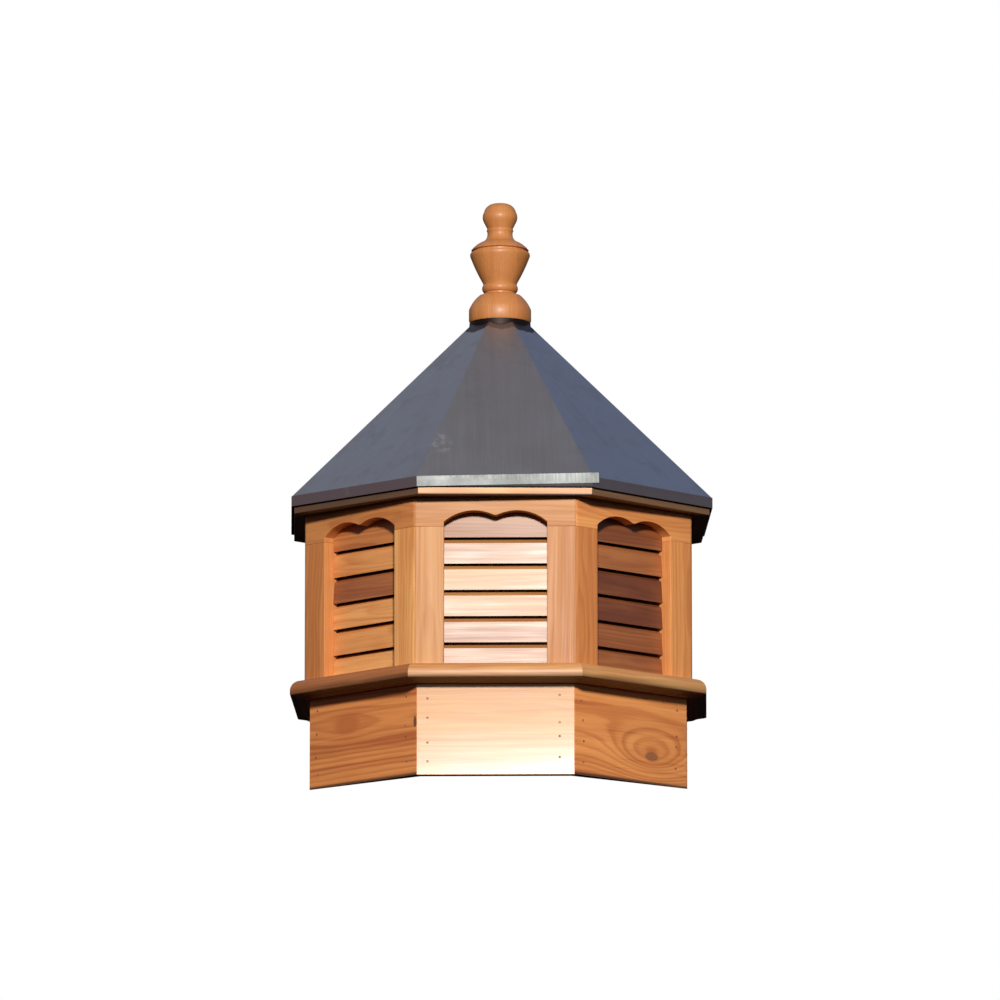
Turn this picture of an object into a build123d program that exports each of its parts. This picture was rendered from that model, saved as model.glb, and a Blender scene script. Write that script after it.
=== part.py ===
from build123d import *
import math
import os

# Octagonal louvred cupola. Millimetres, +Z up, base of the skirt at z = 0.
# The front louvred face looks along -Y and its neighbours follow anticlockwise.

# ---- driving dimensions: overall ----
skirt_flats = 762.0        # skirt, across flats
skirt_height = 184.0       # one board wide
body_top = 560.0           # top of the scalloped headers
roof_pitch = 46.3
roof_twist = 2.7           # the roof was set down this far off square

# ---- driving dimensions: boards and frames ----
skirt_thick = 19.0
cleat_leg = 38.0
frame_proud = 11.0         # the louvred frames stand this far outside the skirt
frame_thick = 38.0
stile_width = 59.0
corner_ease = 12.0
header_height = 60.0
tray_cover = 15.0          # header left whole above the rabbet for the top louvre

# ---- driving dimensions: louvres, flush with the back of their frame ----
louvre_count = 6
louvre_thick = 13.0
louvre_lean = 3.3          # top of each louvre's face behind its foot
louvre_slot = 10.5         # open height between two louvre faces
louvre_bevel = 35.0        # slope of the slots, falling outward
first_louvre = 36.0        # face of the lowest louvre
top_slot_drop = 18.7       # the highest slot stays this far under the header
housing = 8.0              # louvre ends are let this far into the stiles

# ---- driving dimensions: scalloped header ----
scallop_crown = 28.0       # wood left above each arch's crown
scallop_end = 9.4          # each arch springs this far above the header's lower edge
scallop_place = 0.416      # each crown, as a share of the way from the middle to a stile
scallop_soften = 14.0      # rounding of the point between the arches

# ---- driving dimensions: ledge moulding ----
ledge_height = 38.0
ledge_reach = 29.0
ledge_top_round = 22.0
ledge_flat = 9.0           # upright face under the round
ledge_lip = 3.0            # flat under the nose before its hollow
ledge_hollow = 1.5         # depth of the hollow
ledge_land = 2.0           # flat at the moulding's foot

# ---- driving dimensions: eave and roof ----
eave_reach = 29.0
eave_thick = 19.0
eave_width = 89.0
deck_thick = 18.0
metal_thick = 1.0
drip_standoff = 5.0        # face of the drip edge outside the eave board
drip_height = 21.0
drip_lap = 14.5            # eave board left showing under the drip edge
drip_hem = 7.0             # lower edge folded back double
strip_thick = 1.0          # trim strip laid over the drip edge
strip_height = 21.0
strip_skew = 1.35          # the front strip climbs this many degrees to the right
strip_overrun = 12.0       # and runs this far past its corner
hub_height = 85.0
hub_gap = 4.7              # hub's corners inside the collar
sheet_edge = 4.0           # top edge of the sheet stands off the hub

# ---- driving dimensions: collar and finial ----
finial_radius = 64.0       # foot of the finial
finial_height = 244.3      # above the foot's plain band
foot_band = 5.5            # plain band added under the foot
tenon_radius = 15.0
tenon_length = 60.0
tenon_gap = 0.4
tenon_end_gap = 3.0
collar_thick = 1.5
collar_inset = 1.5         # top of the collar inside the finial's foot
collar_flare = 2.5
collar_rise = 14.2         # height of the collar where it meets the roof
collar_lap = 10.0          # collar blank left below its lowest cope

FACES = ("front", "front_right", "right", "back_right", "back", "back_left", "left", "front_left")
HALF = math.radians(22.5)
TAN = math.tan(HALF)
REACH = 2 * skirt_flats    # past everything, for cutting tools
SIDE_VIEW = Plane(origin=(0, 0, 0), x_dir=(0, -1, 0), z_dir=(-1, 0, 0))
FRONT_VIEW = Plane(origin=(0, 0, 0), x_dir=(1, 0, 0), z_dir=(0, -1, 0))

# ---- sizes that follow from the ones above ----
skirt_a = skirt_flats / 2
body_a = skirt_a + frame_proud
back_a = body_a - frame_thick
louvre_a = back_a + louvre_thick
eave_a = body_a + eave_reach
roof_a = eave_a + drip_standoff
rail_top = skirt_height + ledge_height
header_z = body_top - header_height
tray_top = body_top - tray_cover
opening_half = body_a * TAN - stile_width
first_slot = rail_top + first_louvre
last_slot = header_z - top_slot_drop - louvre_slot
louvre_pitch = (last_slot - first_slot) / (louvre_count - 2)
bevel_rise = louvre_thick * math.tan(math.radians(louvre_bevel))
slope = math.tan(math.radians(roof_pitch))
rise = 1 / math.cos(math.radians(roof_pitch))
eave_top = body_top + eave_thick
fold_z = body_top + drip_lap + drip_height
collar_top_radius = finial_radius - collar_inset
collar_low_radius = collar_top_radius + collar_flare
hub_a = (collar_top_radius - collar_thick - hub_gap) * math.cos(HALF)


def roof_z(apothem, depth=0.0):
    """Height of the roof plane at an apothem, at a depth square to the metal's outer face."""
    return fold_z + (roof_a - apothem) * slope - depth * rise


finial_base_z = roof_z(collar_low_radius) + collar_rise


def wedge():
    """Sector of one side of the octagon, for mitring."""
    far = REACH * TAN
    plan = make_face(Polyline((0, 0), (far, -REACH), (-far, -REACH), close=True))
    return Pos(0, 0, -REACH) * extrude(plan, 4 * REACH)


def run(section, half_length=REACH):
    """A section drawn as (apothem, height), run along the front side."""
    return extrude(SIDE_VIEW * section, half_length, both=True)


def mitred(section):
    return run(section) & wedge()


def box_section(a_in, a_out, z_low, z_high):
    return make_face(Polyline((a_in, z_low), (a_out, z_low), (a_out, z_high), (a_in, z_high), close=True))


def turn(part, k, twist=0.0):
    return Rot(0, 0, 45 * k + twist) * part


def solids_of(part):
    return list(part.solids()) if hasattr(part, "solids") else list(part)


def save(name, *parts):
    solids = [s for p in parts for s in solids_of(p)]
    export_step(solids[0] if len(solids) == 1 else Compound(children=solids), f"parts/{name}.step")


def corner_block():
    """Everything outside the eased outer corner of the body, on the front side's right end."""
    tip = Vector(body_a * TAN, -body_a)
    flat = corner_ease * TAN
    centre = Vector(body_a * TAN - flat, -(body_a - corner_ease))
    mitre = Vector(math.sin(HALF), -math.cos(HALF))
    on_mitre = centre + mitre * corner_ease
    mid = Vector(math.sin(HALF / 2), -math.cos(HALF / 2)) * corner_ease + centre
    start = Vector(tip.X - flat, tip.Y)
    plan = make_face(
        ThreePointArc(start, mid, on_mitre)
        + Polyline(on_mitre, tip * 1.02, Vector(start.X, start.Y * 1.02), start)
    )
    return extrude(plan, 2 * REACH)


def eased(part):
    """Both outer corners of a frame piece eased."""
    block = corner_block()
    return part - block - mirror(block, about=Plane.YZ)


# ---- skirt ----
def skirt_board():
    return mitred(box_section(skirt_a - skirt_thick, skirt_a, 0, skirt_height))


def cleat():
    """Block in the skirt's inner corner, for the board ends to be nailed to."""
    inner = skirt_a - skirt_thick
    corner = Vector(inner * TAN, -inner)
    out_dir = Vector(math.sin(HALF), -math.cos(HALF))
    along = Vector(-1, 0)
    other = along - out_dir * (2 * along.dot(out_dir))
    a = corner + along * cleat_leg
    b = corner - other * cleat_leg
    plan = make_face(Polyline(corner, a, b, close=True))
    return extrude(plan, skirt_height)


# ---- louvred section ----
def louvre_sections():
    """(low, high, flat low edge, flat high edge) of every louvre's outer face."""
    slots = [first_slot + louvre_pitch * k for k in range(louvre_count - 1)]
    lows = [rail_top] + [z + louvre_slot for z in slots]
    highs = slots + [tray_top]
    return [(low, high, k == 0, k == louvre_count - 1) for k, (low, high) in enumerate(zip(lows, highs))]


def louvre(low, high, flat_low, flat_high):
    section = Polyline(
        (louvre_a, low), (louvre_a - louvre_lean, high),
        (back_a, high + (0 if flat_high else bevel_rise)),
        (back_a, low + (0 if flat_low else bevel_rise)), close=True)
    return run(make_face(section), opening_half + housing)


LOUVRES = [louvre(*row) for row in louvre_sections()]


def stile():
    """Right-hand stile of the front frame."""
    plan = make_face(Polyline(
        (opening_half, -body_a), (body_a * TAN, -body_a), (back_a * TAN, -back_a),
        (opening_half, -back_a), close=True))
    post = Pos(0, 0, rail_top) * extrude(plan, header_z - rail_top)
    for slat in LOUVRES:
        post = post - slat
    return eased(post)


def header():
    blank = mitred(box_section(back_a, body_a, header_z, body_top))
    crown_x = scallop_place * opening_half
    drop = header_height - scallop_crown - scallop_end
    radius = ((opening_half - crown_x) ** 2 + drop**2) / (2 * drop)
    centre_z = body_top - scallop_crown - radius
    arches = Pos(-crown_x, centre_z) * Circle(radius)
    arches += Pos(crown_x, centre_z) * Circle(radius)
    slot = Pos(0, header_z) * Rectangle(2 * opening_half, 2 * header_height)
    outline = arches & slot
    point = [v for v in outline.vertices() if abs(v.X) < 0.01 and v.Y > header_z]
    outline = fillet(point, scallop_soften)
    cut = Pos(0, -back_a + 1, 0) * extrude(FRONT_VIEW * outline, frame_thick + 20)
    return eased(blank - cut - LOUVRES[-1])


def rail():
    return eased(mitred(box_section(back_a, body_a, skirt_height, rail_top)))


def ledge():
    out = body_a + ledge_reach
    z0, z1 = skirt_height, rail_top
    r1 = ledge_top_round
    nose = z1 - r1 - ledge_flat
    c = math.cos(math.radians(45))
    foot, lip = Vector(body_a + ledge_land, z0), Vector(out - ledge_lip, nose)
    inward = Vector(foot.Y - lip.Y, lip.X - foot.X).normalized()
    hollow = (foot + lip) / 2 + inward * ledge_hollow
    section = (
        Line((body_a, z0), foot) + ThreePointArc(foot, hollow, lip)
        + Polyline(lip, (out, nose), (out, z1 - r1))
        + ThreePointArc((out, z1 - r1), (out - r1 + r1 * c, z1 - r1 + r1 * c), (out - r1, z1))
        + Polyline((out - r1, z1), (body_a, z1), (body_a, z0))
    )
    return mitred(make_face(section))


# ---- roof ----
def eave_board():
    return mitred(box_section(eave_a - eave_width, eave_a, body_top, eave_top))


def deck_panel():
    low = metal_thick + deck_thick
    seat = roof_a - (eave_top - fold_z + low * rise) / slope
    section = Polyline(
        (eave_a, eave_top), (eave_a, roof_z(eave_a, metal_thick)),
        (hub_a, roof_z(hub_a, metal_thick)), (hub_a, roof_z(hub_a, low)),
        (seat, eave_top), close=True)
    return mitred(make_face(section))


def sheet_side():
    """One face of the folded sheet with its turned-down and hemmed drip edge."""
    top_a = hub_a + sheet_edge + metal_thick * rise / slope
    top_z = roof_z(top_a)
    under_a = roof_a - (top_z - fold_z + metal_thick * rise) / slope
    inner = roof_a - metal_thick
    hemmed = roof_a - 2 * metal_thick
    low_z = fold_z - drip_height
    section = Polyline(
        (roof_a, low_z), (roof_a, fold_z), (top_a, top_z), (under_a, top_z),
        (inner, roof_z(inner, metal_thick)), (inner, low_z + drip_hem), (hemmed, low_z + drip_hem),
        (hemmed, low_z), close=True)
    return mitred(make_face(section))


def drip_strips():
    """Trim strips over the drip edge; the front one was nailed on askew and left long."""
    section = box_section(roof_a, roof_a + strip_thick, fold_z - strip_height, fold_z)
    strip = mitred(section)
    half = (roof_a * TAN + strip_overrun) / 2
    pivot = Pos(-roof_a * TAN, 0, fold_z - strip_height)
    long_strip = strip + Pos(half, 0, 0) * run(section, half)
    front = pivot * Rot(0, -strip_skew, 0) * pivot.inverse() * long_strip
    return front, [turn(strip, k) - front for k in range(1, 8)]


def hub():
    plan = RegularPolygon(hub_a, 8, major_radius=False, rotation=22.5)
    top = finial_base_z - collar_thick
    block = Pos(0, 0, top - hub_height) * extrude(plan, hub_height)
    bore = tenon_length - collar_thick + tenon_end_gap
    return block - Pos(0, 0, top - bore) * extrude(Circle(tenon_radius + tenon_gap), bore)


def collar():
    """Spun metal cap under the finial, coped to the roof's eight faces."""
    low_z = roof_z(collar_low_radius) - collar_lap
    top = finial_base_z
    hole = tenon_radius + tenon_gap
    t = collar_thick
    section = Polyline(
        (hole, top), (collar_top_radius, top), (collar_low_radius, low_z),
        (collar_low_radius - t, low_z), (collar_top_radius - t, top - t), (hole, top - t), close=True)
    shell = revolve(Plane.XZ * make_face(section), Axis.Z)
    below = make_face(Polyline((0, fold_z), (roof_a, fold_z), (0, roof_z(0)), close=True))
    side = mitred(below)
    for k in range(8):
        shell = shell - turn(side, k)
    return shell


def finial():
    """Turned finial: moulded foot, bead, urn, neck, ring and knob on a tenon."""
    r = finial_radius
    h = finial_height
    low = -foot_band
    tail = Polyline(
        (0, low - tenon_length), (tenon_radius, low - tenon_length), (tenon_radius, low), (r - 2, low), (r, low + 4))
    foot = (
        Line((r, low + 4), (r, 21))
        + ThreePointArc((r, 21), (r - 8.3, 36.5), (r - 21.5, 51))
        + Polyline((r - 21.5, 51), (r - 28.5, 53), (r - 33, 54.5), (r - 33, 57))
    )
    bead = (
        Line((r - 33, 57), (r - 30, 58.5))
        + ThreePointArc((r - 30, 58.5), (r - 27, 66), (r - 30, 73.5))
        + Line((r - 30, 73.5), (r - 28, 79))
    )
    urn = (
        ThreePointArc((r - 28, 79), (r - 13.6, 107), (r - 2.5, 134))
        + Polyline((r - 2.5, 134), (r - 2.5, 137.5), (r - 4, 140.5), (r - 9.5, 142), (r - 9.5, 144.5), (r - 5, 146))
    )
    neck = (
        ThreePointArc((r - 5, 146), (r - 15.5, 156.5), (r - 28, 163.5))
        + ThreePointArc((r - 28, 163.5), (r - 35.3, 170), (r - 38, 178))
        + Polyline((r - 38, 178), (r - 38, 184), (r - 36.6, 186.3), (r - 36.6, 188.7), (r - 38, 191))
    )
    knob = (
        Line((r - 38, 191), (r - 30.5, 206))
        + ThreePointArc((r - 30.5, 206), (r - 28.2, 215), (r - 31, 226))
        + ThreePointArc((r - 31, 226), (r - 36, 236), (r - 47, h - 1.5))
        + Polyline((r - 47, h - 1.5), (r - 54, h), (0, h), (0, low - tenon_length))
    )
    edge = tail + foot + bead + urn + neck + knob
    return Pos(0, 0, finial_base_z + foot_band) * revolve(Plane.XZ * make_face(edge), Axis.Z)


def main():
    os.makedirs("parts", exist_ok=True)
    board, block, post, head = skirt_board(), cleat(), stile(), header()
    post_left = mirror(post, about=Plane.YZ)
    for k, face in enumerate(FACES):
        save(f"skirt_board_{face}", turn(board, k))
        save(f"header_{face}", turn(head, k))
        save(f"louvres_{face}", *[turn(slat, k) for slat in LOUVRES])
    save("stiles_right", *[turn(post, k) for k in range(8)])
    save("stiles_left", *[turn(post_left, k) for k in range(8)])
    save("skirt_cleats", *[turn(block, k) for k in range(8)])
    rings = (
        ("sill_rails", rail(), 0), ("ledge_mouldings", ledge(), 0),
        ("eave_boards", eave_board(), roof_twist), ("roof_deck", deck_panel(), roof_twist))
    for name, piece, twist in rings:
        save(f"{name}_square", *[turn(piece, k, twist) for k in (0, 2, 4, 6)])
        save(f"{name}_diagonal", *[turn(piece, k, twist) for k in (1, 3, 5, 7)])
    side = sheet_side()
    sheet = side
    for k in range(1, 8):
        sheet = sheet + turn(side, k)
    save("roof_sheet", turn(sheet, 0, roof_twist))
    save("roof_hub", turn(hub(), 0, roof_twist))
    save("roof_collar", turn(collar(), 0, roof_twist))
    save("finial", finial())
    front_strip, other_strips = drip_strips()
    save("drip_strip_front", turn(front_strip, 0, roof_twist))
    save("drip_strips", *[turn(strip, 0, roof_twist) for strip in other_strips])


main()
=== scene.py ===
"""Finishes a packed octagonal cupola: timber, sheet metal, fastenings, and a plain studio round it."""

import math
import random

import bmesh
import bpy
from bpy.props import FloatProperty, FloatVectorProperty, IntProperty, PointerProperty
from mathutils import Matrix, Vector


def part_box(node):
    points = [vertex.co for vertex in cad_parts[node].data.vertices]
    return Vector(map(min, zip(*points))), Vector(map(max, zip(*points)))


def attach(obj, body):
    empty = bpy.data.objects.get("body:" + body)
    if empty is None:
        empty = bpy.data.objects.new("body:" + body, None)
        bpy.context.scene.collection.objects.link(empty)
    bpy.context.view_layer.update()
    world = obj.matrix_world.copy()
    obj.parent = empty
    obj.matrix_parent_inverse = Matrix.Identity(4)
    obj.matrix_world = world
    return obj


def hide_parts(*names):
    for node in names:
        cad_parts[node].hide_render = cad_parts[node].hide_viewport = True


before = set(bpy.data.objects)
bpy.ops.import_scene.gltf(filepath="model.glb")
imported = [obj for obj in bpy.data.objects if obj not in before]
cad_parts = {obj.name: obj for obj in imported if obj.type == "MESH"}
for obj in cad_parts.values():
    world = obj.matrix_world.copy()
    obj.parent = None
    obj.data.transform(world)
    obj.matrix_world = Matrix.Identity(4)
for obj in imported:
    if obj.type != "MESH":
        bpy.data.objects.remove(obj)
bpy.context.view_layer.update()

bl_info = {
    "name": "Louvred cupola finish",
    "version": (1, 0, 0),
    "blender": (4, 5, 0),
    "location": "View3D > Sidebar > Cupola",
    "description": "Gives an octagonal louvred cupola its cedar, sheet metal, nails and studio",
    "category": "Object",
}

FACES = ("front", "front_right", "right", "back_right", "back", "back_left", "left", "front_left")
SIDE = 2 * math.pi / len(FACES)
HALF = SIDE / 2

# Slack when a point is matched to a face.
HAIR = 0.0002

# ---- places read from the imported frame, in metres ----
SKIRT_LOW, SKIRT_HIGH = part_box("skirt_board_front")
SKIRT_FACE = -SKIRT_LOW.y
SKIRT_TOP = SKIRT_HIGH.z
SKIRT_INSIDE = -SKIRT_HIGH.y
SKIRT_CORNER = SKIRT_FACE * math.tan(HALF)
HEADER_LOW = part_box("header_front")[0]
BODY_FACE = -HEADER_LOW.y
BODY_CORNER = BODY_FACE * math.tan(HALF)


def roof_measures():
    """How far the drip edge stands from the axis, the height of its fold and the roof's turn on the body."""
    corners = [v.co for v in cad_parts["roof_sheet"].data.vertices]
    reach = max(math.hypot(v.x, v.y) for v in corners)
    edge = [v for v in corners if math.hypot(v.x, v.y) > reach - 0.0005]
    bearing = math.atan2(edge[0].y, edge[0].x)
    twist = (bearing - HALF + SIDE / 2) % SIDE - SIDE / 2
    return reach * math.cos(HALF), max(v.z for v in edge), twist


DRIP_FACE, FOLD_Z, ROOF_TWIST = roof_measures()
HEM_TOP = FOLD_Z - 0.004


def on_side(number, out, along, height):
    """A place on the side that lies this many sides round to the right of the front one."""
    sine, cosine = math.sin(SIDE * number), math.cos(SIDE * number)
    return (out * sine + along * cosine, along * sine - out * cosine, height)


# ---- marks, each as (centre, reach): wear, a painted highlight and a painted glint; the radius of the painted shade round the collar; and the colours that more than one piece takes, two of them partly painted shade ----
CHIPPED_MITRE = (on_side(-1, SKIRT_FACE + 0.0015, SKIRT_CORNER - 0.0044, SKIRT_TOP - 0.077),
                 (0.005, 0.005, 0.012))
BROWNED_HEADER = (on_side(-1, BODY_FACE - 0.0307, BODY_CORNER - 0.0457, HEADER_LOW.z + 0.032),
                  (0.035, 0.035, 0.018))
# A pale streak painted as the highlight on the front frame's left corner, partly pale wear. It lies deep in
# the front frame's left mitre: it colours the frames' inner corner, which shows from below.
CORNER_HIGHLIGHT_STREAK = (on_side(0, BODY_FACE - 0.031, 0.01437 - BODY_CORNER, HEADER_LOW.z - 0.14),
               (0.006, 0.012, 0.19))
SCRAPED_ROOF = (on_side(0, DRIP_FACE - 0.072, -0.110, FOLD_Z + 0.0645), (0.03, 0.03, 1.0))
# A light spot on the left trim strip, painted as the glint of a nail head.
TRIM_GLINT = (on_side(-1, DRIP_FACE + 0.0011, -0.0014, FOLD_Z - 0.0105), (0.008, 0.008, 1.0))
# Radius of the dark ring painted round the collar as shade under the finial.
COLLAR_SHADE_RADIUS = 0.076
# Dark brown: wear at the chipped mitre, painted shade under the ledge's nose and along the square eave
# boards' lower edge, and the darker foot of the side skirt boards.
GRIME_AND_SHADE = (0.045, 0.022, 0.012)
# Grey-brown for the diagonal eave boards: painted shade, partly weathering.
WEATHER_AND_SHADE = (0.060, 0.044, 0.030)
SOFTWOOD = ((0.62, 0.44, 0.24), (0.40, 0.24, 0.11))
PLYWOOD = ((0.60, 0.44, 0.26), (0.42, 0.27, 0.14))

# ---- nails of the front board, as (along it, heights); those of the other boards stray from these ----
NAIL_COLUMNS = ((-0.136, (0.154, 0.115, 0.065, 0.027)), (0.128, (0.160, 0.105, 0.077, 0.035)))
NAIL_STRAY = (0.004, 0.006)
NAIL_HEAD_DEPTH = 0.0012
NAIL_HEAD_EDGE = 0.0004
NAIL_DISH = 0.00025
# How far the middle of a head's depth lies inside the board.
NAIL_SINK = 0.0003


# ---------------------------------------------------------------- settings
class CedarSettings(bpy.types.PropertyGroup):
    """Colours and edges of the varnished cedar."""

    early: FloatVectorProperty(
        name="Early wood", description="Colour between the growth rings", subtype="COLOR",
        min=0, max=1, default=(0.60, 0.225, 0.062))
    late: FloatVectorProperty(
        name="Late wood", description="Colour of the growth rings", subtype="COLOR",
        min=0, max=1, default=(0.36, 0.098, 0.024))
    heart: FloatVectorProperty(
        name="Heartwood", description="Red-brown that some boards run to", subtype="COLOR",
        min=0, max=1, default=(0.17, 0.042, 0.018))
    sap: FloatVectorProperty(
        name="Sapwood", description="Pale colour that some boards run to", subtype="COLOR",
        min=0, max=1, default=(0.76, 0.45, 0.165))
    edge: FloatProperty(
        name="Eased edges", description="Width of the sanded arris on each board", unit="LENGTH",
        min=0, default=0.0009)
    nose: FloatProperty(
        name="Ledge nose", description="Rounding under the nose of the ledge moulding", unit="LENGTH",
        min=0, max=0.008, default=0.0028)
    ring: FloatProperty(
        name="Ring spacing", description="Distance between growth rings", unit="LENGTH",
        min=0.001, default=0.0042)
    cup: FloatProperty(
        name="Cupping", description="How far the foot of the front skirt board looks bowed out",
        unit="LENGTH", min=0, default=0.0068)
    seed: IntProperty(
        name="Seed", description="Picks another set of boards", default=7)


class MetalSettings(bpy.types.PropertyGroup):
    """Colours, folds and edges of the sheet metal and the nails."""

    sheet: FloatVectorProperty(
        name="Sheet", description="Colour of the roof sheet", subtype="COLOR",
        min=0, max=1, default=(0.45, 0.45, 0.47))
    trim: FloatVectorProperty(
        name="Trim strips", description="Colour of the strips over the drip edge", subtype="COLOR",
        min=0, max=1, default=(0.38, 0.31, 0.34))
    worn: FloatVectorProperty(
        name="Front strip", description="Colour of the dulled strip on the front", subtype="COLOR",
        min=0, max=1, default=(0.118, 0.124, 0.122))
    # Near black: painted shade, for a cap that sits in the shadow under the finial's base.
    collar: FloatVectorProperty(
        name="Collar", description="Colour of the cap under the finial", subtype="COLOR",
        min=0, max=1, default=(0.028, 0.019, 0.017))
    nail: FloatVectorProperty(
        name="Nail heads", description="Colour of the weathered nail heads", subtype="COLOR",
        min=0, max=1, default=(0.30, 0.19, 0.12))
    fold: FloatProperty(
        name="Fold softness", description="Width over which the sheet bends at its hips and eave",
        unit="LENGTH", min=0, default=0.002)
    edge: FloatProperty(
        name="Filed edges", description="Width of the filed arris on the front strip", unit="LENGTH",
        min=0, default=0.0003)
    head: FloatProperty(
        name="Nail head", description="Radius of a skirt nail's head", unit="LENGTH",
        min=0.0005, default=0.0026)


class StudioSettings(bpy.types.PropertyGroup):
    """Camera and key light."""

    bearing: FloatProperty(
        name="Camera bearing", description="How far round to the right of the front face the camera stands",
        unit="ROTATION", default=math.radians(1.33))
    rise: FloatProperty(
        name="Camera rise", description="Angle of the camera above the cupola's middle, negative from below",
        unit="ROTATION", default=math.radians(-9.53))
    distance: FloatProperty(
        name="Camera distance", description="From the camera to the cupola's middle", unit="LENGTH",
        min=1, default=18.23)
    aim: FloatProperty(
        name="Aim height", description="Height of the point that the camera looks at", unit="LENGTH",
        default=0.619)
    lens: FloatProperty(
        name="Lens", description="Focal length in millimetres", unit="CAMERA", min=20, default=320.5)
    key_strength: FloatProperty(
        name="Key light", description="Radiance of the key light", min=0, default=450.0)
    key_colour: FloatVectorProperty(
        name="Key colour", description="Colour of the key light", subtype="COLOR",
        min=0, max=1, default=(1.0, 0.97, 0.94))
    key_size: FloatProperty(
        name="Key size", description="Side of the key light", unit="LENGTH", min=0.1, default=0.4)
    key_rise: FloatProperty(
        name="Key rise", description="Angle of the key light above level", unit="ROTATION",
        default=math.radians(18.5))
    key_bearing: FloatProperty(
        name="Key bearing", description="How far round to the right of the front face the key light stands",
        unit="ROTATION", default=math.radians(2.5))
    key_distance: FloatProperty(
        name="Key distance", description="From the key light to the point that it lights", unit="LENGTH",
        min=1, default=4.5)
    key_aim: FloatProperty(
        name="Key aim height", description="Height of the point that the key light points at", unit="LENGTH",
        default=0.35)


# ---------------------------------------------------------------- modelling helpers
def pick(*objects):
    """Selects these objects alone, the first one active, in object mode."""
    if bpy.context.object and bpy.context.object.mode != "OBJECT":
        bpy.ops.object.mode_set(mode="OBJECT")
    bpy.ops.object.select_all(action="DESELECT")
    for thing in objects:
        thing.select_set(True)
    bpy.context.view_layer.objects.active = objects[0]


def edit(piece, everything=True):
    """Goes into edit mode on one piece."""
    pick(piece)
    bpy.ops.object.mode_set(mode="EDIT")
    bpy.ops.mesh.select_all(action="SELECT" if everything else "DESELECT")


def copy_node(name, node):
    """A merged copy of a CAD node: flat faces whole again, and none left where two of its boards touch."""
    pick(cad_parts[node])
    bpy.ops.object.duplicate()
    piece = bpy.context.object
    piece.name = name
    piece.data.name = name
    piece.parent = None
    for key in list(piece.keys()):
        del piece[key]
    piece.data.materials.clear()
    edit(piece)
    bpy.ops.mesh.customdata_custom_splitnormals_clear()
    bpy.ops.mesh.remove_doubles(threshold=1e-6)
    bpy.ops.mesh.select_all(action="DESELECT")
    bpy.ops.mesh.select_interior_faces()
    bpy.ops.mesh.delete(type="FACE")
    bpy.ops.mesh.select_all(action="SELECT")
    bpy.ops.mesh.mark_sharp(clear=True)
    bpy.ops.mesh.dissolve_limited(angle_limit=math.radians(0.4))
    bpy.ops.object.mode_set(mode="OBJECT")
    return piece


def ease_edges(piece, width):
    """Takes the sharpness off every arris, and keeps the flats flat."""
    pick(piece)
    bevel = piece.modifiers.new("eased", "BEVEL")
    bevel.width = width
    bevel.segments = 2
    bevel.limit_method = "ANGLE"
    bevel.angle_limit = math.radians(30)
    bevel.harden_normals = True
    bpy.ops.object.shade_smooth_by_angle(angle=math.radians(50))
    bpy.ops.object.modifier_apply(modifier=bevel.name)
    close_slivers(piece)


def close_slivers(piece):
    """Takes out the faces that a bevel has left without any width."""
    edit(piece)
    bpy.ops.mesh.remove_doubles(threshold=5e-6)
    bpy.ops.mesh.dissolve_degenerate(threshold=2e-6)
    bpy.ops.object.mode_set(mode="OBJECT")


def boards(mesh):
    """The separate boards in a mesh, each as a list of vertex numbers."""
    shape = bmesh.new()
    shape.from_mesh(mesh)
    shape.verts.ensure_lookup_table()
    waiting = set(range(len(shape.verts)))
    found = []
    while waiting:
        start = min(waiting)
        waiting.discard(start)
        board, front = [start], [start]
        while front:
            vert = shape.verts[front.pop()]
            for link in vert.link_edges:
                other = link.other_vert(vert).index
                if other in waiting:
                    waiting.discard(other)
                    board.append(other)
                    front.append(other)
        found.append(board)
    shape.free()
    return found


def facing(point, twist=0.0):
    """Outward direction of the octagon's side that a point belongs to."""
    bearing = math.atan2(point.y, point.x) - twist
    bearing = round(bearing / SIDE) * SIDE + twist
    return Vector((math.cos(bearing), math.sin(bearing), 0))


# A knot too far off to show.
NO_KNOT = (9.0, 9.0, 0.01)


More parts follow.
